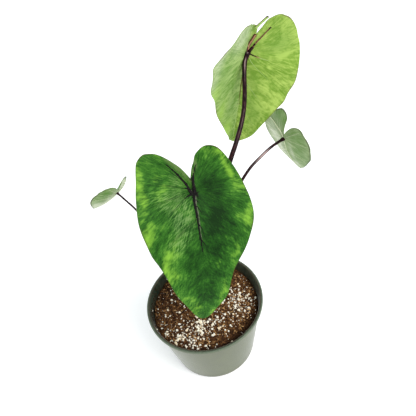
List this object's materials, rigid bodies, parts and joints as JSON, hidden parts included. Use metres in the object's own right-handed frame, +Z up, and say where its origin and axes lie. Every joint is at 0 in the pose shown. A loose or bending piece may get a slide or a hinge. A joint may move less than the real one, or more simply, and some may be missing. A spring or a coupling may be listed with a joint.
{
  "type": "potted house plant",
  "caption": "Young taro plant with heart-shaped blades on slender stems, standing in crumbly soil in a tapered round nursery pot.",
  "frame": {"origin": "centre of the pot's flat underside, where it rests on the floor", "axes": "+Z up, along the pot's axis and the plant's height; -Y towards the side that the largest blade faces"},
  "size_m": [0.2743, 0.2058, 0.4308],
  "materials": {
    "pot": "grey-green moulded plastic with a darker lip and inside",
    "soil": "loose brown peat and bark mix with white perlite grains",
    "blade_front": "satin leaf, dark green with lime patches and near-black ribs",
    "blade_back": "matte underside of a leaf, yellow-green with brown ribs at the stem",
    "blade_right": "matte underside of a young leaf, grey-green",
    "blade_left": "matte underside of a young leaf, grey-green",
    "stem_front": "satin, near-black purple",
    "stem_back": "satin, near-black purple",
    "stem_right": "satin, near-black purple",
    "stem_left": "satin, near-black purple"
  },
  "bodies": {
    "root": {"pot": "pot", "soil": "soil", "blade_front": "blade_front", "blade_back": "blade_back", "blade_right": "blade_right", "blade_left": "blade_left", "stem_front": "stem_front", "stem_back": "stem_back", "stem_right": "stem_right", "stem_left": "stem_left"}
  },
  "joints": []
}
